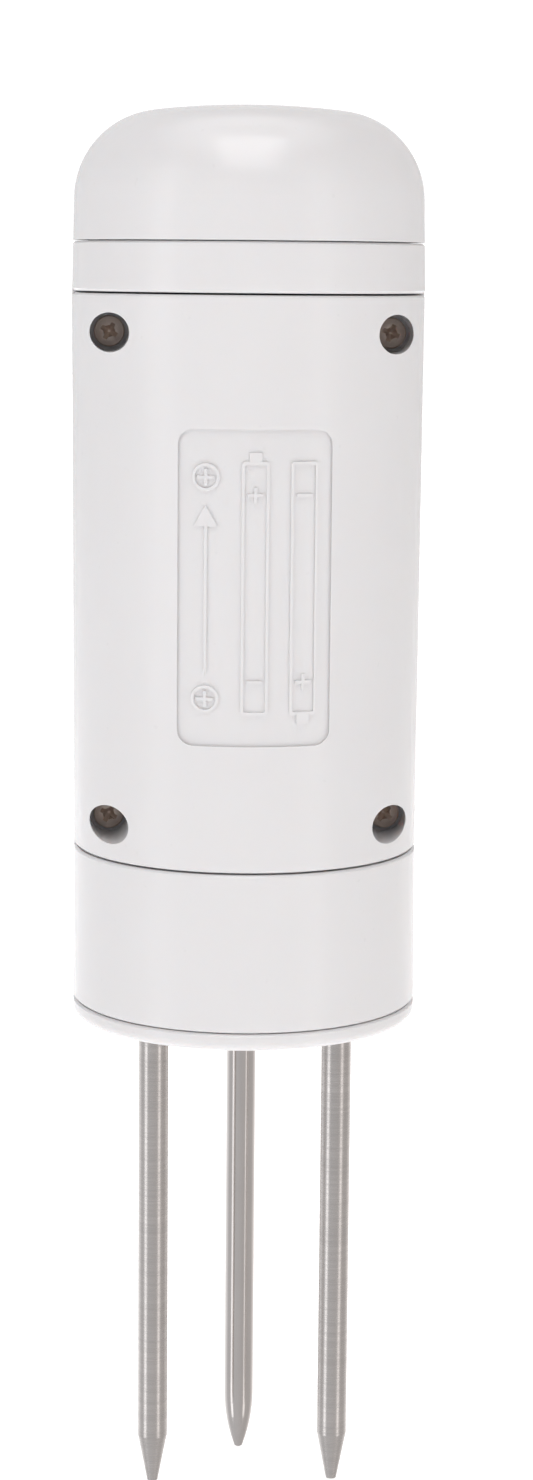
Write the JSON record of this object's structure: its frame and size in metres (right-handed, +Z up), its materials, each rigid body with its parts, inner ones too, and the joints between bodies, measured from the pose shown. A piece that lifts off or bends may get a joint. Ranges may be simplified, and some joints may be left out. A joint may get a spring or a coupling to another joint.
{
  "type": "soil moisture sensor",
  "caption": "Battery-powered wireless soil moisture sensor: white domed cylinder with a screwed-on battery cover, standing on stainless soil probes.",
  "frame": {"origin": "centre of the base plate's lower face, which rests on the soil", "axes": "+Z up along the body, probes pointing down -Z; the battery cover and its screws face -Y, the pairing button and status light face +Y"},
  "size_m": [0.046, 0.046, 0.184],
  "materials": {
    "housing_plastic": "satin white moulded ABS",
    "cover_plastic": "satin white moulded ABS, same batch as the housing",
    "button_plastic": "fine matte light grey",
    "clear_plastic": "frosted clear acrylic",
    "seal_rubber": "matte black silicone",
    "cover_screw_steel": "dark nickel plated",
    "probe_steel": "turned stainless steel",
    "probe_tube_steel": "polished stainless steel",
    "tray_plastic": "black moulded plastic",
    "small_screw_steel": "zinc plated",
    "cell_jacket": "plain printed jacket with bare metal ends",
    "contact_metal": "nickel plated spring steel",
    "terminal_brass": "tinned brass",
    "board_laminate": "green solder mask",
    "shield_can": "tinned steel shield can",
    "chip_black": "black moulded packages",
    "connector_white": "ivory nylon",
    "plunger_black": "black nylon",
    "led_lens": "clear resin",
    "lead_jacket": "coloured silicone insulation",
    "bead_glass": "dark glass bead"
  },
  "bodies": {
    "housing": {"main_housing": "housing_plastic", "top_cap": "housing_plastic", "base_plate": "housing_plastic", "light_pipe": "clear_plastic", "cap_o_ring": "seal_rubber", "base_o_ring": "seal_rubber", "cover_gasket": "seal_rubber", "button_seal": "seal_rubber", "moisture_probe_left": "probe_steel", "moisture_probe_right": "probe_steel", "temperature_probe": "probe_tube_steel", "battery_tray": "tray_plastic", "tray_screws": "small_screw_steel", "probe_nuts": "small_screw_steel", "aa_cell_left": "cell_jacket", "aa_cell_right": "cell_jacket", "negative_contact": "contact_metal", "positive_contact": "contact_metal", "series_bridge": "contact_metal", "contact_springs": "contact_metal", "probe_terminals": "terminal_brass", "main_board": "board_laminate", "radio_module": "shield_can", "board_chips": "chip_black", "pair_switch": "chip_black", "lead_connector": "connector_white", "status_led": "led_lens", "probe_lead_left": "lead_jacket", "probe_lead_right": "lead_jacket", "thermistor_lead": "lead_jacket", "thermistor": "bead_glass"},
    "battery_cover": {"battery_cover": "cover_plastic"},
    "pairing_button": {"pairing_button": "button_plastic", "switch_plunger": "plunger_black"},
    "cover_screw_lower_left": {"cover_screw_lower_left": "cover_screw_steel"},
    "cover_screw_lower_right": {"cover_screw_lower_right": "cover_screw_steel"},
    "cover_screw_upper_left": {"cover_screw_upper_left": "cover_screw_steel"},
    "cover_screw_upper_right": {"cover_screw_upper_right": "cover_screw_steel"}
  },
  "joints": [
    {"name": "battery_cover_lift", "type": "slide", "parent": "housing", "child": "battery_cover", "axis": [0, -1, 0], "range_m": [0, 0.03]},
    {"name": "cover_screw_lower_left_turn", "type": "hinge", "parent": "battery_cover", "child": "cover_screw_lower_left", "pos_m": [-0.0182, -0.0044, 0.02805], "axis": [0, -1, 0], "continuous": true},
    {"name": "cover_screw_lower_right_turn", "type": "hinge", "parent": "battery_cover", "child": "cover_screw_lower_right", "pos_m": [0.0182, -0.0044, 0.02805], "axis": [0, -1, 0], "continuous": true},
    {"name": "cover_screw_upper_left_turn", "type": "hinge", "parent": "battery_cover", "child": "cover_screw_upper_left", "pos_m": [-0.0182, -0.0044, 0.0911], "axis": [0, -1, 0], "continuous": true},
    {"name": "cover_screw_upper_right_turn", "type": "hinge", "parent": "battery_cover", "child": "cover_screw_upper_right", "pos_m": [0.0182, -0.0044, 0.0911], "axis": [0, -1, 0], "continuous": true},
    {"name": "pairing_button_press", "type": "slide", "parent": "housing", "child": "pairing_button", "axis": [0, -1, 0], "range_m": [0, 0.0005], "stiffness_N_per_m": 3000, "springref_m": -0.0001}
  ]
}
